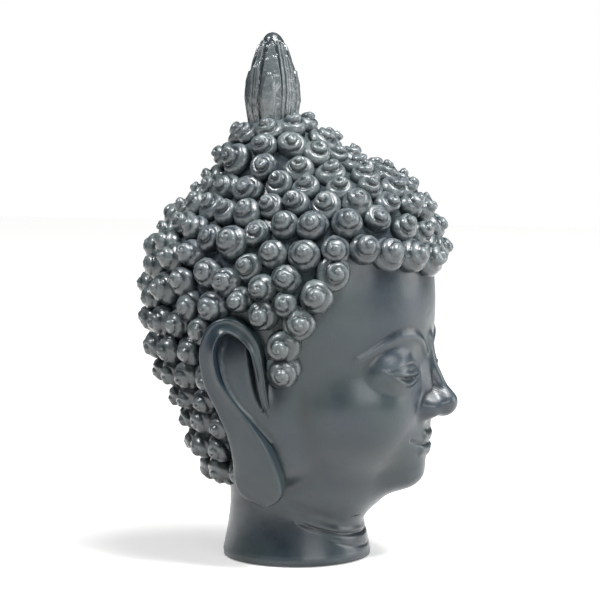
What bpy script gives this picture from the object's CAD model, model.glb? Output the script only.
# Buddha head, one resin casting sprayed with a satin slate grey enamel.
# Lengths in the dictionaries are millimetres on a head 300 mm high, turns are degrees round Z from
# the front, and shapes are worked out from them.
import math

import bpy
import numpy as np
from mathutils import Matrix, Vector


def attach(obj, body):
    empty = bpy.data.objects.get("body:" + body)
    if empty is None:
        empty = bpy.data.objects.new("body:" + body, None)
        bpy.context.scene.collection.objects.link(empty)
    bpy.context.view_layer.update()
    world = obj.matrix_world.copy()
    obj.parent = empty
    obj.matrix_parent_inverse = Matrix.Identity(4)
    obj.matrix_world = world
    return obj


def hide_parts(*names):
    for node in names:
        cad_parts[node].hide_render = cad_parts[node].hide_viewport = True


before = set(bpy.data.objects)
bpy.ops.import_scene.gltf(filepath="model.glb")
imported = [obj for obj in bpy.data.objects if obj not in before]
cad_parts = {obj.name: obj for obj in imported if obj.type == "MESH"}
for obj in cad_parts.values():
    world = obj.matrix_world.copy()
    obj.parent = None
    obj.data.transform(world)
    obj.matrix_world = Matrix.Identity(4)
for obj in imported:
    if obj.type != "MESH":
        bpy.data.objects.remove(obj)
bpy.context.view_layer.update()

mm = 0.001
rng = np.random.default_rng(7)


# small helpers for the modelling

def deselectAll():
    if bpy.context.object and bpy.context.object.mode != "OBJECT":
        bpy.ops.object.mode_set(mode="OBJECT")
    bpy.ops.object.select_all(action="DESELECT")


def selectOnly(piece):
    deselectAll()
    piece.select_set(True)
    bpy.context.view_layer.objects.active = piece


def active(name):
    # the primitive just added, under its own name
    made = bpy.context.object
    made.name = name
    made.data.name = name
    return made


def places(piece):
    co = np.empty(len(piece.data.vertices) * 3)
    piece.data.vertices.foreach_get("co", co)
    return co.reshape(-1, 3) / mm


def putPlaces(piece, p):
    piece.data.vertices.foreach_set("co", (p * mm).ravel())
    piece.data.update()


def roundPrimitive(name, around, rings):
    # a uv sphere, with each vertex's turn round Z and its share of the way from top to bottom
    deselectAll()
    bpy.ops.mesh.primitive_uv_sphere_add(segments=around, ring_count=rings, radius=mm,
                                         location=(0, 0, 0))
    piece = active(name)
    p = places(piece)
    turn = np.arctan2(p[:, 0], -p[:, 1])
    down = np.arccos(np.clip(p[:, 2] / np.linalg.norm(p, axis=1), -1, 1)) / math.pi
    return piece, turn, down


def outwardFaces(piece):
    selectOnly(piece)
    bpy.ops.object.mode_set(mode="EDIT")
    bpy.ops.mesh.select_all(action="SELECT")
    bpy.ops.mesh.normals_make_consistent(inside=False)
    bpy.ops.object.mode_set(mode="OBJECT")
    bpy.ops.object.shade_smooth()


def keepShare(piece, name, values):
    # a number per vertex that the paint reads: "hollow" is how deep in a crevice it lies (0.5 on
    # plain skin), "stipple" how much the ground is worked over with the tool
    layer = piece.data.attributes.new(name, "FLOAT", "POINT")
    layer.data.foreach_set("value", np.clip(values, 0, 1).astype(np.float32))


def unit(v):
    return v / np.linalg.norm(v, axis=1)[:, None]


def running(steps):
    # the length reached at each point of a line
    return np.concatenate([[0], np.cumsum(steps)])


def smoothLine(rows, count):
    rows = np.array(rows, float)
    ends = np.vstack([2 * rows[0] - rows[1], rows, 2 * rows[-1] - rows[-2]])
    out = []
    for t in np.linspace(0, len(rows) - 1, count):
        i = min(int(t), len(rows) - 2)
        u = t - i
        a, b, c, d = ends[i:i + 4]
        out.append(0.5 * (2 * b + (c - a) * u + (2 * a - 5 * b + 4 * c - d) * u ** 2
                          + (3 * b - a - 3 * c + d) * u ** 3))
    return np.array(out)


def evenNoise(p, size, seed):
    # a soft wandering value, mostly between -1 and 1, from a few crossed waves about size across
    r = np.random.default_rng(seed)
    out = np.zeros(len(p))
    for _ in range(7):
        aim = r.normal(size=3)
        aim *= 2 * math.pi / size / np.linalg.norm(aim) * r.uniform(0.6, 1.4)
        out += np.sin(p @ aim + r.uniform(0, 6.3))
    return out / 4


def wobble(p, size, seeds):
    return np.stack([evenNoise(p, size, seed) for seed in seeds], axis=1)


# distances to simple forms; p is a table of points

def blob(p, centre, radii, around=2.0, upright=2.0):
    # an egg, squarer in plan or in height where around or upright is over 2
    a = np.abs(p - np.array(centre, float)) / np.array(radii, float) + 1e-9
    flat = (a[:, 0] ** around + a[:, 1] ** around) ** (1 / around)
    k = (flat ** upright + a[:, 2] ** upright) ** (1 / upright)
    share = (flat / k) ** (upright - 1)
    slope = np.stack([share * (a[:, 0] / flat) ** (around - 1) / radii[0],
                      share * (a[:, 1] / flat) ** (around - 1) / radii[1],
                      (a[:, 2] / k) ** (upright - 1) / radii[2]], axis=1)
    return (k - 1) / np.linalg.norm(slope, axis=1)


def rope(p, rows, reach=12.0):
    # rows hold x, y, z and radius; further off than reach the exact distance doesn't matter
    rows = np.array(rows, float)
    near = np.all((p > rows[:, :3].min(axis=0) - reach) & (p < rows[:, :3].max(axis=0) + reach),
                  axis=1)
    q = p[near]
    best = np.full(len(q), 1e9)
    for a, b in zip(rows[:-1], rows[1:]):
        run = b[:3] - a[:3]
        t = np.clip(((q - a[:3]) @ run) / (run @ run), 0, 1)
        gap = np.linalg.norm(q - a[:3] - t[:, None] * run, axis=1)
        best = np.minimum(best, gap - (a[3] + (b[3] - a[3]) * t))
    out = np.full(len(p), float(reach))
    out[near] = best
    return out


def joined(a, b, soft):
    h = np.clip(0.5 + 0.5 * (b - a) / soft, 0, 1)
    return b * (1 - h) + a * h - soft * h * (1 - h)


def cut(a, b, soft):
    return -joined(-a, b, soft)


def worked(d, p, steps):
    # forms laid on or cut away in turn, each as softly as its last number says
    for way, form, sizes, soft in steps:
        d = way(d, form(p, *sizes), soft)
    return d


def cast(form, origins, directions, start=190.0, steps=60, near=0.002):
    # points where rays from outside meet the form; 0.8 of each gap is safe where forms are squashed
    t = np.full(len(directions), float(start))
    live = np.arange(len(directions))
    origins = np.broadcast_to(origins, directions.shape)
    for _ in range(steps):
        gap = form(origins[live] + t[live, None] * directions[live])
        t[live] -= 0.8 * gap
        live = live[np.abs(gap) > near]
        if not len(live):
            break
    return origins + t[:, None] * directions


def outward(form, p, step=0.2):
    n = np.empty_like(p)
    for axis in range(3):
        move = np.zeros(3)
        move[axis] = step
        n[:, axis] = form(p + move) - form(p - move)
    return n / np.linalg.norm(n, axis=1)[:, None]


def settled(form, p):
    return p - form(p)[:, None] * outward(form, p)


# head: skull, crown dome, face and neck

head = {
    "neckRadius": 38.5, "footRadius": 43.5, "footEdge": 3.0, "flareHeight": 30, "neckTop": 75,
    "neckSoft": 8, "around": 330, "rings": 290,
    "skull": ((0, 0.5, 147), (65.5, 80.5, 69), 2.1, 2.4),     # centre, radii, squareness
    "scalp": [
        (joined, blob, ((0, -20, 174), (56, 57, 52)), 6),                 # dome over the brow
        (joined, blob, ((0, 9, 203), (36, 36, 43.5), 2.0, 2.3), 12),      # crown dome
        (joined, blob, ((0, 9, 88), (49, 47, 50), 2.0, 2.2), 16),         # nape
    ],
    "belowScalp": [
        (joined, blob, ((0, -19, 98), (55.5, 60, 61), 2.2, 2.15), 10),    # block of the face
        (joined, blob, ((26, -37, 88), (26, 33, 29)), 12),                # cheek
        (joined, blob, ((0, -15, 47), (40, 40, 27)), 12),                 # under the jaw
        (joined, blob, ((0, -58, 53), (16, 18, 13)), 9),                  # chin
    ],
    # creases round the neck: turn and height along each, depth, width
    "creases": [
        ([(0, 20.5), (30, 22.5), (60, 30.5), (84, 38.5)], 0.8, 3.4),      # under the jaw
        ([(0, 15.0), (30, 16.8), (55, 21.0), (76, 26.5)], 1.3, 1.1),
        ([(0, 7.6), (24, 9.4), (48, 15.0)], 0.45, 0.8),
    ],
    "creaseTop": 50, "creaseFade": 14,
    # share of the rings from the top: height where the ray starts, its rise in degrees
    "rays": [(0, 175, 90), (0.07, 175, 45), (0.13, 170, 8), (0.17, 168, -12), (0.21, 160, -20),
             (0.62, 90, -22), (0.67, 80, -30), (0.72, 72, -48), (0.93, 12, -10), (0.965, 9, -45),
             (1, 9, -90)],
    # how close the sphere's columns stand: everywhere, then more round a turn and within a width
    "columns": 0.13, "denser": [(0.9, 0, 38), (0.60, 93, 18)],
    "crevice": 0.8, "groundShade": 0.30,
}

face = {
    "steps": [
        (cut, blob, ((19, -92, 116), (14, 14, 10)), 8),                   # sockets
        (joined, blob, ((27, -59.5, 112), (18, 16, 14)), 4.5),            # closed lids
        (joined, rope, ([(0, -77, 127, 3.2), (0, -80, 113, 3.3), (0, -86, 99, 3.8),
                         (0, -88.5, 93, 5.2)], 25), 5),                   # ridge of the nose
        (joined, rope, ([(4.0, -71, 124, 4.0), (4.6, -75, 106, 4.4),
                         (5.5, -78, 92, 5.0)], 25), 5),                   # flank of the nose
        (joined, blob, ((0, -85.5, 91), (7.4, 7.8, 6.8)), 7),             # tip
        (joined, blob, ((8.8, -78.0, 89), (4.9, 8.2, 5.6)), 6),           # wings
        (cut, blob, ((5.2, -84, 82.4), (2.5, 4.4, 2.6)), 1.6),            # nostrils
        (joined, blob, ((0, -57.5, 70), (24, 20.5, 18)), 8),              # mound of the mouth
        (cut, rope, ([(0, -82.2, 83, 1.8), (0, -82.6, 77.5, 2.3)],), 3),  # groove above the lip
        (joined, rope, ([(0, -76.2, 72.3, 3.6), (5.5, -75.6, 73.2, 3.7),
                         (17, -69.0, 71.8, 1.0)], 20), 1.2),              # upper lip
        (joined, rope, ([(0, -75.2, 65.2, 4.4), (6.5, -74.2, 65.7, 4.1),
                         (15, -69.0, 68.6, 1.4)], 20), 1.6),              # lower lip
    ],
    # lines drawn on it: raised or cut, softness, how far sunk, then x, height and radius
    "lines": [
        (True, 2.6, 0.6, [(6.5, 120, 0.9), (12, 127, 1.4), (24, 132, 1.7), (37, 129.5, 1.5),
                          (49, 120, 0.7)]),                               # brow
        (False, 0.6, 0.0, [(14.5, 108.8, 0.5), (20, 107.6, 1.4), (27.5, 107.3, 1.6),
                           (35, 108.8, 1.1), (40.5, 110.8, 0.3)]),        # slit between the lids
        (True, 0.8, 0.1, [(13.6, 109.4, 0.5), (19, 110.2, 1.0), (27.5, 110.6, 1.1),
                          (35, 111.3, 1.0), (43, 112.2, 0.4)]),           # upper lid
        (True, 0.9, 0.2, [(14.5, 108.2, 0.4), (20, 105.9, 0.8), (27.5, 104.7, 0.9),
                          (35, 106.6, 0.8), (40.5, 110, 0.3)]),           # lower lid
        (False, 0.7, 0.0, [(16, 114, 0.2), (21, 115.6, 0.5), (28.5, 116.2, 0.6),
                           (36, 115, 0.5), (42, 113.2, 0.2)]),            # fold over the lid
        (False, 1.2, 0.0, [(0, 68.7, 1.0), (4.5, 68.2, 1.0), (10, 69.1, 0.9),
                           (15, 70.4, 0.8), (19.2, 72.0, 0.9)]),          # line of the mouth
    ],
    "lineReach": 6, "frontFrom": -30,
}


def column(p):
    flare = np.clip(1 - p[:, 2] / head["flareHeight"], 0, 1) ** 1.5
    radius = head["neckRadius"] + (head["footRadius"] - head["neckRadius"]) * flare
    return np.maximum(np.hypot(p[:, 0], p[:, 1]) - radius, p[:, 2] - head["neckTop"])


def skullAndBun(p):
    return worked(blob(p, *head["skull"]), p, head["scalp"])


def masses(p):
    return joined(worked(skullAndBun(p), p, head["belowScalp"]), column(p), head["neckSoft"])


def features(p):
    d = masses(p)
    front = p[:, 1] < face["frontFrom"]
    made = worked(d[front], p[front], face["steps"])
    d = d.copy()
    d[front] = made
    return d


def faceLines():
    made = []
    for raised, soft, sunk, rows in face["lines"]:
        rows = smoothLine(rows, 17)
        p = np.stack([rows[:, 0], np.full(len(rows), -130.0), rows[:, 1]], axis=1)
        for _ in range(60):
            p[:, 1] += 0.8 * features(p)
        line = np.stack([rows[:, 0], p[:, 1] + sunk, rows[:, 1], rows[:, 2]], axis=1)
        made.append((raised, soft, line))
    return made


def creaseAt(p, rows, width):
    # how near a point of the neck is to a crease: 1 on the crease, 0 a width away
    turn = np.degrees(np.arctan2(np.abs(p[:, 0]), -p[:, 1]))
    rows = np.array(rows, float)
    fine = smoothLine(rows, 60)
    height = np.interp(turn, fine[:, 0], fine[:, 1])
    fade = np.clip((rows[-1, 0] - turn) / head["creaseFade"], 0, 1)
    return np.exp(-((p[:, 2] - height) / width) ** 2) * fade


ear = {
    # lines laid on the side of the head: y, height and radius
    "innerRidge": [(19, 130, 0.6), (21.3, 122, 1.1), (18.6, 108, 1.2), (12.4, 95.5, 1.2),
                   (4.0, 86, 1.1), (-4.5, 74, 0.5)],
    "slot": [(5.0, 125, 1.0), (2.6, 114, 2.1), (1.0, 103, 1.8), (-1.6, 93, 0.8)],
    "lineReach": 8, "ridgeSoft": 1.0, "slotSoft": 1.8,
    # the bowl is a plate inside the strap: sine and cosine of its lean, slopes back and downwards
    "bowlMiddle": (0, 11, 108), "bowlLean": (0.30, 0.953), "bowlSlopes": (0.20, 0.12),
    "bowlPlate": ((52, 0, 3), (17, 13.5, 36), 4.5, 3.0), "plateSoft": 9, "bowlSoft": 6,
    # below the bowl the cheek is full, up to the lobe
    "cheekLow": ((40, -6, 73), (18.5, 21, 25)), "cheekHigh": ((43, -9, 95), (17.0, 14, 26)),
    "cheekSoft": 8,
    # y and height of the strap's middle, half width, how far out its crest stands
    "strap": [(-5.4, 86, 1.0, 62.0), (-2.8, 99, 1.7, 67.0), (-1.6, 114, 2.1, 70.0),
              (1.2, 127, 2.9, 71.8), (7.6, 135.5, 3.9, 73.0), (15.8, 139.3, 4.2, 75.0),
              (23.4, 135.5, 4.6, 76.5), (27.4, 124, 4.8, 76.5), (25.2, 108, 5.2, 74.5),
              (18.6, 94.5, 6.2, 71.5), (11.2, 80.5, 9.0, 68.0), (6.0, 66, 12.4, 64.5),
              (4.0, 54, 14.3, 62.0), (3.0, 44, 14.0, 59.5), (2.4, 36.0, 13.6, 56.5)],
    # across the strap from its inner to its outer edge: share of the half width, drop from crest
    "section": [(-0.6, 26), (-0.98, 14), (-1.0, 4.0), (-0.97, 1.2), (-0.84, 0.1), (-0.62, 0.1),
                (-0.3, 0.7), (0.2, 0.9), (0.6, 0.5), (0.82, 0.0), (0.95, 0.5), (1.0, 2.2),
                (1.0, 8), (0.9, 16), (0.5, 27)],
    "crestDepth": 6, "rimDepth": 2.5,
    # the lobe: its length, how far it takes to form, its lean outwards and its swell
    "lobe": 58, "lobeGrows": 30, "lean": 1.2, "lobeLean": 2.4, "lobeSwell": 2.9,
    "lobeRim": 0.35, "closing": 12, "opening": 9, "tuck": 20, "tuckDepth": 6.0, "tuckThins": 0.7,
    "wander": 0.12, "wanderSize": 9,
    "around": 56, "along": 170,
}


def bowl(q):
    o = q - ear["bowlMiddle"]
    leanSin, leanCos = ear["bowlLean"]
    slopeBack, slopeDown = ear["bowlSlopes"]
    along = -leanSin * o[:, 1] - leanCos * o[:, 2]
    behind = leanCos * o[:, 1] - leanSin * o[:, 2]
    x = q[:, 0] - slopeBack * behind + slopeDown * along
    plate = blob(np.stack([x, behind, along], axis=1), *ear["bowlPlate"])
    cheek = joined(blob(q, *ear["cheekLow"]), blob(q, *ear["cheekHigh"]), ear["cheekSoft"])
    return joined(plate, cheek, ear["plateSoft"])


def withBowl(q):
    return joined(features(q), bowl(q), ear["bowlSoft"])


def onSide(rows):
    # lays a line of y, height and radius on the side of the head
    rows = smoothLine(rows, 24)
    p = np.stack([np.full(len(rows), 120.0), rows[:, 0], rows[:, 1]], axis=1)
    for _ in range(60):
        p[:, 0] -= 0.8 * withBowl(p)
    return np.stack([p[:, 0], rows[:, 0], rows[:, 1], rows[:, 2]], axis=1)


drawnLines = faceLines()
innerRidge = onSide(ear["innerRidge"])
earSlot = onSide(ear["slot"])


def whole(p):
    # both sides are alike, so all is worked out on the statue's left
    q = np.stack([np.abs(p[:, 0]), p[:, 1], p[:, 2]], axis=1)
    d = joined(withBowl(q), rope(q, innerRidge, ear["lineReach"]), ear["ridgeSoft"])
    d = cut(d, rope(q, earSlot, ear["lineReach"]), ear["slotSoft"])
    for raised, soft, rows in drawnLines:
        line = rope(q, rows, face["lineReach"])
        d = joined(d, line, soft) if raised else cut(d, line, soft)
    low = p[:, 2] < head["creaseTop"]
    d = d.copy()
    d[low] += sum(depth * creaseAt(q[low], rows, width) for rows, depth, width in head["creases"])
    return cut(d, p[:, 2], head["footEdge"])


def remapTurns(turn):
    # more of the sphere's columns go to the face and the ears than to the hidden scalp
    fine = np.radians(np.linspace(0, 180, 721))
    dense = head["columns"]
    for more, middle, width in head["denser"]:
        dense = dense + more * np.exp(-((fine - math.radians(middle)) / math.radians(width)) ** 2)
    run = running((dense[1:] + dense[:-1]) / 2)
    run *= math.pi / run[-1]
    return np.sign(turn) * np.interp(np.abs(turn), run, fine)


def smoothedPlaces(piece, p, rounds):
    # each vertex moved halfway to the mean of its neighbours, again and again
    edges = np.empty(len(piece.data.edges) * 2, int)
    piece.data.edges.foreach_get("vertices", edges)
    edges = edges.reshape(-1, 2)
    mean = p.copy()
    for _ in range(rounds):
        total = np.zeros_like(mean)
        count = np.zeros(len(mean))
        for a, b in ((0, 1), (1, 0)):
            np.add.at(total, edges[:, a], mean[edges[:, b]])
            np.add.at(count, edges[:, a], 1)
        mean = 0.5 * mean + 0.5 * total / count[:, None]
    return mean


def headSkin():
    share = 1
    piece, turn, down = roundPrimitive("head_skin", int(head["around"] * share),
                                       int(head["rings"] * share))
    rays = np.array(head["rays"], float)
    turn = remapTurns(turn)
    height = np.interp(down, rays[:, 0], rays[:, 1])
    rise = np.radians(np.interp(down, rays[:, 0], rays[:, 2]))
    aim = np.stack([np.cos(rise) * np.sin(turn), -np.cos(rise) * np.cos(turn), np.sin(rise)],
                   axis=1)
    p = cast(whole, np.stack([0 * turn, 0 * turn, height], axis=1), aim)
    p[:, 2] = np.maximum(p[:, 2], 0)
    putPlaces(piece, p)
    # the ground under the hair is stippled with the tool, the face is smooth
    ground = underHair(p).astype(float)
    keepShare(piece, "stipple", ground)
    # crevices gather darker paint: how much the smoothed surface stands over the real one
    normal = np.empty(len(p) * 3)
    piece.data.vertices.foreach_get("normal", normal)
    sunk = np.sum((smoothedPlaces(piece, p, 14) - p) * normal.reshape(-1, 3), axis=1)
    keepShare(piece, "hollow", 0.5 + sunk / head["crevice"] + head["groundShade"] * ground)
    outwardFaces(piece)
    return piece


# ears

def roundedOff(share):
    # 1 falling to 0 as a quarter circle does
    return np.sqrt(np.clip(1 - share ** 2, 0, 1))


def earPiece(side):
    piece, turn, down = roundPrimitive("ear_" + ("left" if side > 0 else "right"),
                                       ear["around"], ear["along"])
    section = smoothLine(ear["section"] + ear["section"][:1], 600)
    run = running(np.hypot(*(np.diff(section, axis=0) * (8, 1)).T))
    # most columns lie on the crest, few on the buried root
    weight = np.where(section[:, 1] < ear["crestDepth"], 3.0, 1.0)
    run = running(np.diff(run) * weight[1:])
    at = (turn + math.pi) / (2 * math.pi) * run[-1]
    share = np.interp(at, run, section[:, 0])
    drop = np.interp(at, run, section[:, 1])
    fine = smoothLine(ear["strap"], 900)
    length = running(np.hypot(*np.diff(fine[:, :2], axis=0).T))
    s = np.clip((down - 0.012) / 0.976, 0, 1) * length[-1]
    left = length[-1] - s
    y, z, half, crest = (np.interp(s, length, fine[:, k]) for k in range(4))
    slope = np.gradient(fine[:, :2], length, axis=0)
    slope = unit(np.stack([np.interp(s, length, slope[:, k]) for k in range(2)], axis=1))
    across = np.stack([slope[:, 1], -slope[:, 0]], axis=1)      # towards the outer edge
    # the lobe is a flat spoon whose thin rim is all the relief it has; ends close round
    lobe = np.clip((s - length[-1] + ear["lobe"]) / ear["lobeGrows"], 0, 1)
    rim = np.where(drop < ear["rimDepth"], 1 - ear["lobeRim"] * lobe, 1)
    ending = ((s - length[-1] + ear["closing"]) / ear["closing"]).clip(0, 1)
    starting = ((ear["opening"] - s) / ear["opening"]).clip(0, 1)
    half = half * roundedOff(ending) * roundedOff(starting)
    onCrest = drop < ear["crestDepth"]
    over = ((ear["lean"] + ear["lobeLean"] * lobe) * share
            + ear["lobeSwell"] * lobe * (1 - share ** 2) * onCrest)
    tucked = 1 - np.sqrt(np.clip(left / ear["tuck"], 0, 1))
    x = crest + over - drop * rim * (1 - ear["tuckThins"] * tucked) - ear["tuckDepth"] * tucked
    p = np.stack([side * x, y + across[:, 0] * half * share, z + across[:, 1] * half * share],
                 axis=1)
    p += ear["wander"] * evenNoise(p, ear["wanderSize"], 3)[:, None] * (1, 0, 0)
    putPlaces(piece, p)
    keepShare(piece, "hollow", np.full(len(p), 0.5))
    keepShare(piece, "stipple", np.zeros(len(p)))
    outwardFaces(piece)
    return piece


# hair

hair = {
    "spacing": 16.4, "crownSpacing": 15.2, "crownFrom": 195, "crownRise": 45,
    "radius": 9.3, "height": 10.4, "lean": 0.05,
    "roomRange": (0.93, 1.14), "widthRange": (0.95, 1.05), "heightRange": (0.92, 1.08),
    # cut by hand: a slow sway of the whole, and a finer roughness that grows behind
    "sway": 0.28, "swaySize": 7, "rough": 0.13, "rougherBehind": 0.13, "roughSize": 2.8,
    "rays": 6000, "rounds": 70, "ringOut": 6.2,
    "tooClose": 0.74, "bare": 0.80,      # shares of the spacing
    # level rows behind the ear, from this point of its edge down
    "rows": 7, "rowPitch": 13.9, "rowsFrom": 5,
    # edges of the hair: turn and height
    "hairline": [(0, 172), (12, 174.5), (25, 178), (40, 177), (50, 172.5), (60, 161.5),
                 (68, 148), (74, 132), (78, 112.5)],
    "overTheEar": [(84, 138), (92, 152), (104, 153), (113, 148), (119, 134), (120, 118),
                   (119, 100), (117, 82), (114, 66), (114, 56)],
    "nape": [(130, 55), (155, 53), (180, 53)],
    # One snail curl: a rope wound up to a knob, eight steps to the turn. The flank line between two
    # turns starts on the scalp; where it stands after each turn is given as share of the radius
    # and share of the height.
    "kinds": {
        "open": {"flank": [(0.0, 1.12, -0.06), (0.75, 1.08, -0.02), (1.0, 0.66, 0.34),
                           (1.5, 0.50, 0.46), (2.0, 0.31, 0.66), (2.5, 0.17, 0.86),
                           (2.75, 0.0, 1.02)], "full": 0.40, "offset": 0.09},
        "round": {"flank": [(0.0, 1.14, -0.06), (0.72, 1.08, 0.0), (1.0, 0.80, 0.40),
                            (1.6, 0.54, 0.68), (2.0, 0.38, 0.84), (2.5, 0.17, 1.08),
                            (2.7, 0.0, 1.16)], "full": 0.28, "offset": 0.06},
        "tight": {"flank": [(0.0, 1.14, -0.06), (0.70, 1.07, 0.04), (1.0, 0.88, 0.38),
                            (2.0, 0.54, 0.80), (3.0, 0.20, 1.10), (3.2, 0.0, 1.20)],
                  "full": 0.22, "offset": 0.03},
        # a plain limpet with a shallow winding, for the sides and the back
        "limpet": {"flank": [(0.0, 1.16, -0.08), (0.70, 1.10, 0.0), (1.0, 0.86, 0.42),
                             (2.0, 0.50, 0.88), (2.6, 0.24, 1.06), (2.8, 0.0, 1.10)],
                   "full": 0.22, "offset": 0.04},
    },
    "steps": 8,
    # four lanes across the rope: where they lie, and how deep in a crevice they are
    "laneAt": (0.0, 0.22, 0.76, 1.0), "laneShade": (1.0, 0.25, 0.25, 1.0),
    # how far the rope's upper shoulder swells; radius and height of the foot under the scalp
    "shoulder": 0.92, "foot": (1.04, -0.35),
}
eyeOfTheForm = np.array([0.0, 0.0, 98.0])


def evenlySeen(count):
    # rays spread evenly all round
    i = np.arange(count) + 0.5
    z = 1 - 2 * i / count
    turn = i * math.pi * (1 + math.sqrt(5))
    r = np.sqrt(1 - z * z)
    return np.stack([r * np.cos(turn), r * np.sin(turn), z], axis=1)


def atTurn(turns, heights):
    turns = np.radians(turns)
    aim = np.stack([np.sin(turns), -np.cos(turns), 0 * turns], axis=1)
    return cast(masses, np.stack([0 * turns, 0 * turns, heights], axis=1), aim)


def evenlyAlong(turns, heights, spacing, stagger):
    # curls at equal steps along a line on the head, or half a step further
    line = atTurn(turns, heights)
    run = running(np.linalg.norm(np.diff(line, axis=0), axis=1))
    count = max(1, round(run[-1] / spacing))
    at = (np.arange(count + 1 - stagger) + 0.5 * stagger) / count * run[-1]
    return np.stack([np.interp(at, run, line[:, k]) for k in range(3)], axis=1)


def borderCurls(spacing):
    # along the hairline, down the temples and over the ears
    right = np.array(hair["hairline"] + hair["overTheEar"][:hair["rowsFrom"]], float)
    rows = np.concatenate([right[:0:-1] * (-1, 1), right])
    parts = [np.linspace(a, b, 12, endpoint=False) for a, b in zip(rows[:-1], rows[1:])]
    fine = np.concatenate(parts + [rows[-1:]])
    return evenlyAlong(fine[:, 0], fine[:, 1], spacing, 0)


def napeRows(spacing):
    # level rows behind the ears, each staggered to the one below
    edge = np.array(hair["overTheEar"][hair["rowsFrom"] - 1:][::-1], float)
    made = []
    for k in range(hair["rows"]):
        height = hair["nape"][-1][1] + 1 + hair["rowPitch"] * k
        turn = np.interp(height, edge[:, 1], edge[:, 0]) + 1
        turns = np.linspace(turn, 360 - turn, 240)
        made.append(evenlyAlong(turns, np.full(240, height), spacing, k % 2))
    return np.vstack(made)


def crownCurls(spacing):
    # a ring round the bud's foot
    ring = bud["footRadius"] + hair["ringOut"]
    count = round(2 * math.pi * ring / spacing)
    turns = np.arange(count) * 2 * math.pi / count + 0.2
    aim = np.stack([ring * np.sin(turns), -ring * np.cos(turns), np.full(count, 46.0)], axis=1)
    return cast(skullAndBun, np.array([0, bud["setback"], 200.0]), unit(aim))


def underHair(p):
    above = [(180, 400), (0, 400)]
    border = np.array(hair["hairline"] + hair["overTheEar"] + hair["nape"] + above, float)
    x = np.degrees(np.arctan2(np.abs(p[:, 0]), -p[:, 1]))
    inside = np.zeros(len(p), bool)
    for (x0, z0), (x1, z1) in zip(border, np.roll(border, -1, axis=0)):
        crosses = (z0 > p[:, 2]) != (z1 > p[:, 2])
        rise = (z1 - z0) if z1 != z0 else 1e-9
        inside ^= crosses & (x < (x1 - x0) * (p[:, 2] - z0) / rise + x0)
    return inside


def spacingAt(p):
    share = np.clip((p[:, 2] - hair["crownFrom"]) / hair["crownRise"], 0, 1)
    return hair["spacing"] + (hair["crownSpacing"] - hair["spacing"]) * share


def nearestGap(points, others):
    return np.min(np.linalg.norm(points[:, None] - others[None], axis=2), axis=1)


def thinned(centres):
    # where two stand too close, one curl between them
    made = list(centres)
    k = 0
    while k < len(made):
        gaps = [np.linalg.norm(made[k] - other) for other in made[k + 1:]]
        if gaps and min(gaps) < hair["tooClose"] * spacingAt(made[k][None])[0]:
            other = made.pop(k + 1 + int(np.argmin(gaps)))
            made[k] = (made[k] + other) / 2
        k += 1
    return np.array(made)


def curlCentres():
    # as many curls as the scalp holds, each in the middle of its own share of it
    edges = np.vstack([borderCurls(hair["spacing"]), crownCurls(hair["crownSpacing"])])
    rows = napeRows(hair["spacing"])
    fixed = np.vstack([edges, rows])
    rays = evenlySeen(hair["rays"])
    scalp = cast(masses, eyeOfTheForm, rays)
    far = np.linalg.norm(scalp - eyeOfTheForm, axis=1)
    area = 4 * math.pi * far ** 2 / len(rays) / np.sum(rays * outward(masses, scalp), axis=1)
    fromBud = np.hypot(scalp[:, 0], scalp[:, 1] - bud["setback"])
    kept = underHair(scalp) & ((fromBud > bud["footRadius"] + 6) | (scalp[:, 2] < 225))
    scalp = scalp[kept]
    wanted = spacingAt(scalp)
    cells = area[kept] / (0.866 * wanted ** 2)      # curls stand as in a honeycomb
    count = round(cells.sum() - 0.5 * len(edges) - 0.95 * len(rows))
    gap = nearestGap(scalp, fixed) / wanted
    chosen = []
    for _ in range(count):
        best = int(np.argmax(gap))
        chosen.append(scalp[best])
        gap = np.minimum(gap, np.linalg.norm(scalp - scalp[best], axis=1) / wanted)
    moving = np.array(chosen)
    for _ in range(hair["rounds"]):
        everyone = np.vstack([moving, fixed])
        nearest = np.argmin(np.linalg.norm(scalp[:, None] - everyone[None], axis=2), axis=1)
        for k in range(count):
            own = nearest == k
            if own.any():
                moving[k] = (scalp[own] * cells[own, None]).sum(axis=0) / cells[own].sum()
        moving = settled(masses, moving)
    made = thinned(np.vstack([moving, fixed]))
    # and a curl in each patch that is still bare
    bare = nearestGap(scalp, made) / wanted
    while bare.max() > hair["bare"]:
        best = int(np.argmax(bare))
        made = np.vstack([made, scalp[best]])
        bare = np.minimum(bare, np.linalg.norm(scalp - scalp[best], axis=1) / wanted)
    return settled(masses, made)


def flankAt(rows, t):
    # radius and height of the line between two turns; the rope swells out of the second turn's side
    r = np.interp(t, rows[:, 0], rows[:, 1])
    h = np.interp(t, rows[:, 0], rows[:, 2])
    grown = np.clip(t / 0.3, 0, 1) ** 0.7
    first = (np.interp(1.0, rows[:, 0], rows[:, 1]), np.interp(1.0, rows[:, 0], rows[:, 2]))
    return np.stack([first[0] + (r - first[0]) * grown, first[1] + (h - first[1]) * grown], axis=1)


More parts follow.
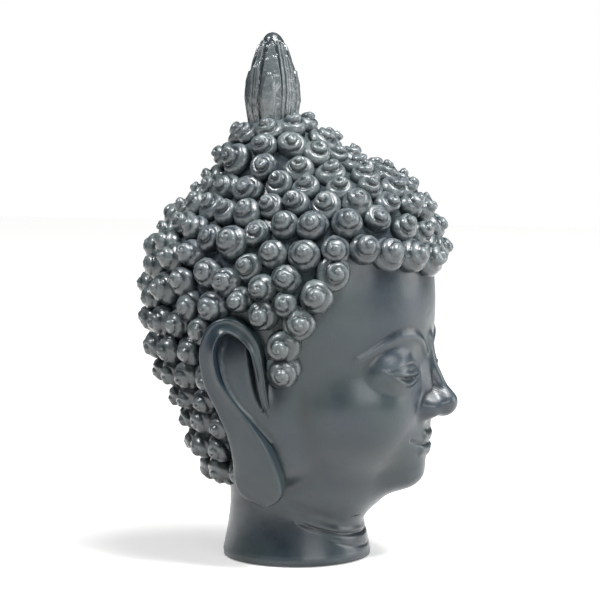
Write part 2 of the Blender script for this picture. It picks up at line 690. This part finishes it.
def curlModel(name, flank, full, offset):
    # unit radius and height; turns share their flank lines once doubles are merged
    rows = np.array(flank)
    steps = int(round(hair["steps"] * rows[-1, 0]))
    deselectAll()
    bpy.ops.mesh.primitive_grid_add(x_subdivisions=steps, y_subdivisions=3, size=1,
                                    location=(0, 0, 0))
    piece = active(name)
    lane = np.repeat(np.arange(4), steps + 1)
    t = np.tile(np.arange(steps + 1), 4) / hair["steps"]
    outer, inner = flankAt(rows, t), flankAt(rows, np.maximum(t + 1, 1))
    run = inner - outer
    away = np.stack([-run[:, 1], run[:, 0]], axis=1) * -1
    across = np.choose(lane, hair["laneAt"])
    # the lowest turn runs out flat into the scalp
    low = np.clip(1.2 - t, 0, 1)
    swell = np.choose(lane, [0 * t, 1.0 - 0.55 * low, hair["shoulder"] + 0 * t, 0 * t])
    swell = swell * full * 1.25
    rh = outer + across[:, None] * run + swell[:, None] * away
    turn = 2 * math.pi * t
    shift = offset * (1 - np.clip(rh[:, 0], 0, 1))
    p = np.stack([rh[:, 0] * np.cos(turn) + shift, rh[:, 0] * np.sin(turn), rh[:, 1]], axis=1)
    putPlaces(piece, p)
    shade = np.choose(lane, hair["laneShade"]) * np.where(rh[:, 1] > 0.9, 0.4, 1)
    keepShare(piece, "hollow", shade)
    bpy.ops.object.mode_set(mode="EDIT")
    bpy.ops.mesh.select_all(action="SELECT")
    bpy.ops.mesh.remove_doubles(threshold=0.00001)
    bpy.ops.mesh.select_all(action="DESELECT")
    bpy.ops.mesh.select_non_manifold()
    bpy.ops.mesh.extrude_region_move(TRANSFORM_OT_translate={"value": (0, 0, -0.01 * mm)})
    bpy.ops.object.mode_set(mode="OBJECT")
    # the new edge becomes a round foot below the scalp
    wide, deep = hair["foot"]
    for v in piece.data.vertices:
        if v.select:
            around = math.atan2(v.co.y, v.co.x)
            v.co = Vector((wide * math.cos(around), wide * math.sin(around), deep)) * mm
    bpy.ops.object.mode_set(mode="EDIT")
    bpy.ops.mesh.edge_face_add()
    bpy.ops.mesh.select_all(action="SELECT")
    bpy.ops.mesh.normals_make_consistent(inside=False)
    bpy.ops.object.mode_set(mode="OBJECT")
    smooth = piece.modifiers.new("smooth", "SUBSURF")
    smooth.levels = smooth.render_levels = 1
    bpy.ops.object.modifier_apply(modifier="smooth")
    return piece


def curlModels():
    models = {}
    for kind, facts in hair["kinds"].items():
        model = curlModel("curl_" + kind, **facts)
        hollow = np.empty(len(model.data.vertices), np.float32)
        model.data.attributes["hollow"].data.foreach_get("value", hollow)
        models[kind] = (places(model), [tuple(f.vertices) for f in model.data.polygons], hollow)
        bpy.data.objects.remove(model)
    return models


def chosenKind(roll, high, behind):
    # open curls on top, limpets behind, round and tight ones between
    if roll < 0.92 * high:
        return "open"
    if roll < high + 0.75 * behind:
        return "limpet"
    return "tight" if roll > 0.55 else "round"


def setCurls(centres):
    # every curl is a copy of a model, turned, sized and stood on the scalp
    models = curlModels()
    up = outward(masses, centres, 1.0)
    # a curl with more room round it is a little larger
    gaps = np.linalg.norm(centres[:, None] - centres[None], axis=2)
    gaps = np.sort(gaps, axis=1)[:, 1:6].mean(axis=1)
    room = np.clip(gaps / spacingAt(centres), *hair["roomRange"])
    side = unit(np.cross(up, (0.0, 0.03, 1.0)))
    rise = np.cross(up, side)
    allPoints, allFaces, allHollow, base = [], [], [], 0
    for i in np.argsort(-centres[:, 2]):
        c = centres[i]
        scale = float(spacingAt(c[None])[0]) / hair["spacing"]
        high = np.clip((c[2] - 165) / 50, 0, 1)
        behind = np.clip((c[1] + 20) / 50, 0, 1) * (1 - high)
        p, faces, hollow = models[chosenKind(rng.uniform(), high, behind)]
        radius = hair["radius"] * scale * room[i] * rng.uniform(*hair["widthRange"])
        height = hair["height"] * scale * rng.uniform(*hair["heightRange"])
        turn = rng.uniform(0, 2 * math.pi)
        lean = rng.normal(0, hair["lean"], 2)
        x = p[:, 0] * math.cos(turn) - p[:, 1] * math.sin(turn) + lean[0] * p[:, 2]
        y = p[:, 0] * math.sin(turn) + p[:, 1] * math.cos(turn) + lean[1] * p[:, 2]
        q = c + radius * (x[:, None] * side[i] + y[:, None] * rise[i]) + height * p[:, 2:3] * up[i]
        allPoints.append(q)
        allHollow.append(0.08 + 0.86 * hollow)
        allFaces.extend([tuple(v + base for v in f) for f in faces])
        base += len(q)
    # worked by hand: no two curls are quite alike, and those behind are rougher
    q = np.vstack(allPoints)
    q += hair["sway"] * wobble(q, hair["swaySize"], (21, 22, 23))
    backward = np.clip((q[:, 1:2] + 10) / 50, 0, 1)
    lower = np.clip((215 - q[:, 2:3]) / 40, 0, 1)
    rough = hair["rough"] + hair["rougherBehind"] * backward * lower
    q += rough * wobble(q, hair["roughSize"], (24, 25, 26))
    deselectAll()
    bpy.ops.mesh.primitive_plane_add(size=mm, location=(0, 0, 0))
    piece = active("hair_curls")
    piece.data.clear_geometry()
    piece.data.from_pydata((q * mm).tolist(), [], allFaces)
    piece.data.update()
    keepShare(piece, "hollow", np.concatenate(allHollow))
    keepShare(piece, "stipple", np.full(len(q), 0.12))
    selectOnly(piece)
    bpy.ops.object.shade_smooth()
    return piece


# lotus bud

bud = {
    "radius": 14.8, "footRadius": 12.8, "height": 55.0, "setback": 14.5, "top": 300.0,
    "around": 320, "rings": 150,
    # share of its height and of its radius
    "profile": [(-0.12, 0.80), (0.0, 0.84), (0.06, 0.87), (0.14, 0.92), (0.27, 0.99), (0.37, 1.0),
                (0.50, 0.95), (0.66, 0.82), (0.80, 0.66), (0.89, 0.52), (0.95, 0.38),
                (0.985, 0.21), (1.0, 0.0)],
    # each broad petal: its middle, half width, the share of the height its tip reaches, thickness,
    # and how far the folds beside it are shifted
    "broad": [(285, 27, 0.90, 1.9, 2), (12, 25, 0.88, 1.7, -1), (103, 27, 0.90, 1.9, 1),
              (194, 25, 0.88, 1.7, -2)],
    # a smaller leaf lies on each broad petal
    "inner": {"half": 14, "tip": 0.58, "lift": 1.1, "aside": 4},
    # upright folds fill the room between two broad petals: off the petal's middle, half width,
    # the share of the height they reach, thickness
    "folds": [(30, 6.2, 0.93, 1.2), (39, 5.0, 0.86, 1.8), (47.5, 5.6, 0.92, 1.3),
              (56, 6.0, 0.90, 1.7)],
    "foldDepth": 1.7,
}


def leafOver(low, away, half, start, tip, soft, blunt=2.6):
    # 1 on a leaf, 0 off it: its sides close to a rounded tip
    closing = (np.clip(low - start, 0, 1) / (tip - start)) ** blunt
    reach = half * np.sqrt(np.clip(1 - closing, 0, 1))
    edge = np.clip((reach - np.abs(away)) / soft, 0, 1) * np.clip((tip - low) / 0.012, 0, 1)
    return edge * edge * (3 - 2 * edge)


def petalRelief(low, turn):
    # how far the petals and folds stand out at each vertex, and how deep in a crevice it lies
    skin = np.stack([14 * np.sin(turn), 14 * np.cos(turn), low * bud["height"]], axis=1)
    # cut by hand: the folds wander and swell a little
    sway = 2.6 * evenNoise(skin * (0, 0, 1), 34, 5) + 1.6 * evenNoise(skin, 13, 6)
    swell = 1 + 0.30 * evenNoise(skin, 11, 8)
    relief = np.zeros(len(low))
    hollow = np.full(len(low), 0.80)

    def awayFrom(middle):
        off = turn - np.radians(middle + sway)
        return np.degrees(np.arctan2(np.sin(off), np.cos(off)))

    inner = bud["inner"]
    for k, (middle, half, tip, thick, shift) in enumerate(bud["broad"]):
        for over, foldHalf, foldTip, rise in bud["folds"]:
            away = awayFrom(middle + over + shift)
            arch = roundedOff(away / foldHalf)
            lift = rise * swell * arch * leafOver(low, away, foldHalf * 1.3, 0.2, foldTip, 1.0)
            hollow = np.where(lift > relief, 0.84 - 0.70 * arch ** 2, hollow)
            relief = np.maximum(relief, lift)
        away = awayFrom(middle)
        on = leafOver(low, away, half, 0.35, tip, 3.0)
        lift = thick * on * (1 - 0.35 * (away / half) ** 2)
        innerTip = inner["tip"] + 0.03 * (k % 2)
        over = leafOver(low, away + inner["aside"], inner["half"], 0.25, innerTip, 2.0, 4.5)
        lift += inner["lift"] * over * on
        edge = np.maximum(4 * on * (1 - on), 4 * over * (1 - over))
        hollow = np.where(lift > relief, 0.36 - 0.12 * over + 0.34 * edge, hollow)
        relief = np.maximum(relief, lift)
    return relief, hollow


def lotusBud():
    piece, turn, down = roundPrimitive("lotus_bud", bud["around"], bud["rings"])
    profile = smoothLine(bud["profile"], 400)
    run = running(np.hypot(*(np.diff(profile, axis=0) * (bud["height"], bud["radius"])).T))
    at = (1 - down) * run[-1]
    low = np.interp(at, run, profile[:, 0])
    wide = np.interp(at, run, profile[:, 1])
    relief, hollow = petalRelief(low, turn)
    # towards the tip all relief dies away
    small = np.clip(wide / 0.62, 0, 1) ** 1.5
    hollow = 0.42 + (hollow - 0.42) * small
    r = bud["radius"] * wide - bud["foldDepth"] * small + relief * small
    away = np.stack([np.sin(turn), -np.cos(turn), 0 * turn], axis=1)
    p = np.stack([0 * r, np.full(len(r), bud["setback"]), bud["top"] - bud["height"] * (1 - low)],
                 axis=1)
    p += r[:, None] * away
    p += (0.26 * evenNoise(p, 9, 11) + 0.10 * evenNoise(p, 3.5, 12))[:, None] * away
    p[:, 2] = np.minimum(p[:, 2], bud["top"])
    putPlaces(piece, p)
    keepShare(piece, "hollow", hollow)
    keepShare(piece, "stipple", np.full(len(p), 0.05))
    outwardFaces(piece)
    return piece


# paint

finishes = {
    # Sprayed satin enamel over cast polyester resin: one even slate colour with a soft sheen, a
    # faint orange peel, thicker darker paint in the crevices and a little rubbing on what stands
    # proud. Bump depth is in millimetres.
    "skin": {"name": "satin_slate_enamel_on_resin_skin", "body": ("#283641", "#354446"),
             "dark": "#1a2228", "pale": "#78838a", "roughness": 0.36, "bumpDepth": 0.07,
             "wear": 0.35, "coat": 0.30, "coatRoughness": 0.20},
    # the curls and the bud are brushed over once more, which leaves them glossier and more worn
    "curls": {"name": "satin_slate_enamel_on_resin_curls", "body": ("#434d54", "#515c5d"),
              "dark": "#12171b", "pale": "#a3abad", "roughness": 0.25, "bumpDepth": 0.20,
              "wear": 0.66, "coat": 0.70, "coatRoughness": 0.20},
    "bud": {"name": "satin_slate_enamel_on_resin_bud", "body": ("#3b454c", "#485354"),
            "dark": "#12171b", "pale": "#bcc3c5", "roughness": 0.22, "bumpDepth": 0.24,
            "wear": 0.66, "coat": 0.90, "coatRoughness": 0.14},
}
# how far across each pattern of the paint is, in millimetres
patterns = {"clouds": 40, "drift": 6, "peel": 1.6, "grit": 0.5, "pinholes": 9, "toolMarks": 2.2}


def linear(code):
    parts = [int(code[i:i + 2], 16) / 255 for i in (1, 3, 5)]
    parts = [c / 12.92 if c <= 0.04045 else ((c + 0.055) / 1.055) ** 2.4 for c in parts]
    return (*parts, 1.0)


def addNode(tree, kind, settings=None, links=None, values=None):
    node = tree.nodes.new(kind)
    for name, value in (settings or {}).items():
        setattr(node, name, value)
    for name, value in (values or {}).items():
        node.inputs[name].default_value = value
    for name, source in (links or {}).items():
        tree.links.new(source, node.inputs[name])
    return node


def satinEnamel(name, body, dark, pale, roughness, bumpDepth, wear, coat, coatRoughness):
    made = bpy.data.materials.new(name)
    made.use_nodes = True
    tree = made.node_tree
    shader = tree.nodes["Principled BSDF"]
    shader.inputs["Metallic"].default_value = 0.0
    shader.inputs["IOR"].default_value = 1.52
    shader.inputs["Coat Weight"].default_value = coat
    shader.inputs["Coat Roughness"].default_value = coatRoughness
    at = addNode(tree, "ShaderNodeTexCoord").outputs["Object"]
    hollow = addNode(tree, "ShaderNodeAttribute", {"attribute_name": "hollow"}).outputs["Fac"]
    stipple = addNode(tree, "ShaderNodeAttribute", {"attribute_name": "stipple"}).outputs["Fac"]

    def noise(pattern, detail, rough):
        return addNode(tree, "ShaderNodeTexNoise", None, {"Vector": at},
                       {"Scale": 1 / (patterns[pattern] * mm), "Detail": detail,
                        "Roughness": rough}).outputs["Fac"]

    def ranged(value, lowFrom, highFrom, lowTo, highTo):
        return addNode(tree, "ShaderNodeMapRange", None, {"Value": value},
                       {"From Min": lowFrom, "From Max": highFrom, "To Min": lowTo,
                        "To Max": highTo}).outputs["Result"]

    def sums(operation, links, values=None):
        return addNode(tree, "ShaderNodeMath", {"operation": operation}, links, values).outputs[0]

    # clouds: bluish and greenish patches of the same grey
    tint = addNode(tree, "ShaderNodeValToRGB", None, {"Fac": noise("clouds", 3.0, 0.55)})
    for end, place, colour in zip(tint.color_ramp.elements, (0.38, 0.64), body):
        end.position = place
        end.color = linear(colour)
    darker = addNode(tree, "ShaderNodeMix", {"data_type": "RGBA"},
                     {"Factor": ranged(hollow, 0.56, 0.95, 0.0, 0.85), "A": tint.outputs["Color"]},
                     {"B": linear(dark)})
    # drifts of the brush and spray: the paler rubbed paint and the gloss wander with them
    drift = noise("drift", 4.0, 0.6)
    proud = ranged(hollow, 0.50, 0.20, 0.0, 1.0)
    rubbed = sums("MULTIPLY", {0: sums("MULTIPLY", {0: proud, 1: drift})}, {1: wear})
    lighter = addNode(tree, "ShaderNodeMix", {"data_type": "RGBA"},
                      {"Factor": rubbed, "A": darker.outputs["Result"]}, {"B": linear(pale)})
    tree.links.new(lighter.outputs["Result"], shader.inputs["Base Color"])
    gloss = ranged(drift, 0.3, 0.7, roughness - 0.06, roughness + 0.08)
    gloss = sums("MULTIPLY_ADD", {0: stipple, 2: gloss}, {1: 0.34})
    tree.links.new(gloss, shader.inputs["Roughness"])
    # orange peel, fine grit, scattered pinholes, and tool marks where the ground is stippled
    grit, peel = noise("grit", 1.0, 0.5), noise("peel", 2.0, 0.5)
    relief = sums("MULTIPLY_ADD", {0: grit, 2: peel}, {1: 0.12})
    relief = sums("MULTIPLY_ADD", {0: drift, 2: relief}, {1: 1.6})
    pits = addNode(tree, "ShaderNodeTexVoronoi", {"feature": "F1"}, {"Vector": at},
                   {"Scale": 1 / (patterns["pinholes"] * mm), "Randomness": 1.0})
    pits = ranged(pits.outputs["Distance"], 0.02, 0.06, -3.0, 0.0)
    relief = sums("ADD", {0: relief, 1: pits})
    marks = sums("MULTIPLY", {0: noise("toolMarks", 2.0, 0.5), 1: stipple})
    relief = sums("MULTIPLY_ADD", {0: marks, 2: relief}, {1: 12.0})
    bump = addNode(tree, "ShaderNodeBump", None, {"Height": relief},
                   {"Strength": 1.0, "Distance": bumpDepth * mm})
    tree.links.new(bump.outputs["Normal"], shader.inputs["Normal"])
    return made


# stage, lights and camera; lengths here are metres

view = {"azimuth": -72.0, "elevation": 5.55, "distance": 1.24, "lens": 129.57, "sensor": 36,
        "aimHeight": 0.15, "moveRight": 0.00187, "moveUp": -0.0029}
studio = {
    "aimHeight": 0.16, "floor": 6, "paper": "#fbfbfa", "white": "#ffffff",
    "paperGlow": 0.20, "roomLight": 0.07,
    # right of the head as the camera sees it, towards the camera, height, width, tallness, watts
    "panels": {"panelRight": (1.6, -0.15, 0.5, 0.80, 0.80, 9),
               "panelLow": (0.66, 1.24, 0.42, 0.90, 0.315, 4.8),
               "panelTop": (0.6, 0.6, 1.5, 0.25, 0.25, 13),
               "panelLeft": (-0.7, 0.4, 1.3, 0.25, 0.25, 12)},
    "ceilingFrom": (0.45, 0.15, 1), "ceilingPower": 2.6, "ceilingAngle": 40,
}


def sideways():
    # to the right of the camera and towards it, on the floor
    a = math.radians(view["azimuth"])
    return Vector((math.cos(a), math.sin(a), 0)), Vector((math.sin(a), -math.cos(a), 0))


def whiteStage():
    deselectAll()
    bpy.ops.mesh.primitive_plane_add(size=studio["floor"], location=(0, 0, 0))
    floor = active("floor")
    plain = bpy.data.materials.new("matt_white_paper")
    plain.use_nodes = True
    shader = plain.node_tree.nodes["Principled BSDF"]
    shader.inputs["Base Color"].default_value = linear(studio["paper"])
    shader.inputs["Roughness"].default_value = 0.8
    shader.inputs["Emission Color"].default_value = linear(studio["white"])
    shader.inputs["Emission Strength"].default_value = studio["paperGlow"]
    floor.data.materials.append(plain)
    floor.visible_diffuse = False      # no light thrown back up, so undersides stay in shade
    world = bpy.context.scene.world or bpy.data.worlds.new("world")
    bpy.context.scene.world = world
    world.use_nodes = True
    tree = world.node_tree
    sky = tree.nodes["Background"]
    sky.inputs["Color"].default_value = linear(studio["white"])
    # the paper behind is white to the eye, and the room that lights the head is dimmer
    seen = addNode(tree, "ShaderNodeLightPath").outputs["Is Camera Ray"]
    strength = addNode(tree, "ShaderNodeMapRange", None, {"Value": seen},
                       {"To Min": studio["roomLight"], "To Max": 1.0})
    tree.links.new(strength.outputs["Result"], sky.inputs["Strength"])


def softLights():
    right, back = sideways()
    aim = Vector((0, 0, studio["aimHeight"]))
    for name, (aside, near, high, width, tall, power) in studio["panels"].items():
        place = right * aside + back * near + Vector((0, 0, high))
        deselectAll()
        bpy.ops.object.light_add(type="AREA", location=place)
        light = bpy.context.object
        light.name = name
        light.data.shape = "RECTANGLE"
        light.data.size = width
        light.data.size_y = tall
        light.data.energy = power
        light.rotation_euler = (aim - place).to_track_quat("-Z", "Y").to_euler()
    # the ceiling of the tent: even over the whole floor
    deselectAll()
    bpy.ops.object.light_add(type="SUN", location=(0, 0, 2))
    ceiling = bpy.context.object
    ceiling.name = "ceiling"
    ceiling.data.energy = studio["ceilingPower"]
    ceiling.data.angle = math.radians(studio["ceilingAngle"])
    aside, near, high = studio["ceilingFrom"]
    source = right * aside + back * near + Vector((0, 0, high))
    ceiling.rotation_euler = (-source).to_track_quat("-Z", "Y").to_euler()


def photoCamera():
    right, level = sideways()
    e = math.radians(view["elevation"])
    back = level * math.cos(e) + Vector((0, 0, math.sin(e)))
    up = back.cross(right)
    aim = Vector((0, 0, view["aimHeight"])) + right * view["moveRight"] + up * view["moveUp"]
    deselectAll()
    bpy.ops.object.camera_add(location=aim + back * view["distance"])
    camera = bpy.context.object
    camera.rotation_euler = (-back).to_track_quat("-Z", "Y").to_euler()
    camera.data.sensor_width = view["sensor"]
    camera.data.lens = view["lens"]
    bpy.context.scene.camera = camera


# make it all

paint = {part: satinEnamel(**facts) for part, facts in finishes.items()}
print("paint ready")
skin = headSkin()
print("head skin", len(skin.data.polygons), "faces")
ears = [earPiece(1), earPiece(-1)]
print("ears", len(ears[0].data.polygons), "faces each")
centres = curlCentres()
print("curls laid out:", len(centres))
curls = setCurls(centres)
print("curls", len(curls.data.polygons), "faces")
finial = lotusBud()
print("lotus bud", len(finial.data.polygons), "faces")
for piece, part in ((skin, "skin"), (ears[0], "skin"), (ears[1], "skin"), (curls, "curls"),
                    (finial, "bud")):
    piece.data.materials.clear()
    piece.data.materials.append(paint[part])
    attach(piece, "root")
    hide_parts("buddha_head")
whiteStage()
softLights()
photoCamera()
bpy.context.scene.view_settings.view_transform = "Standard"
print("stage, lights and camera ready")
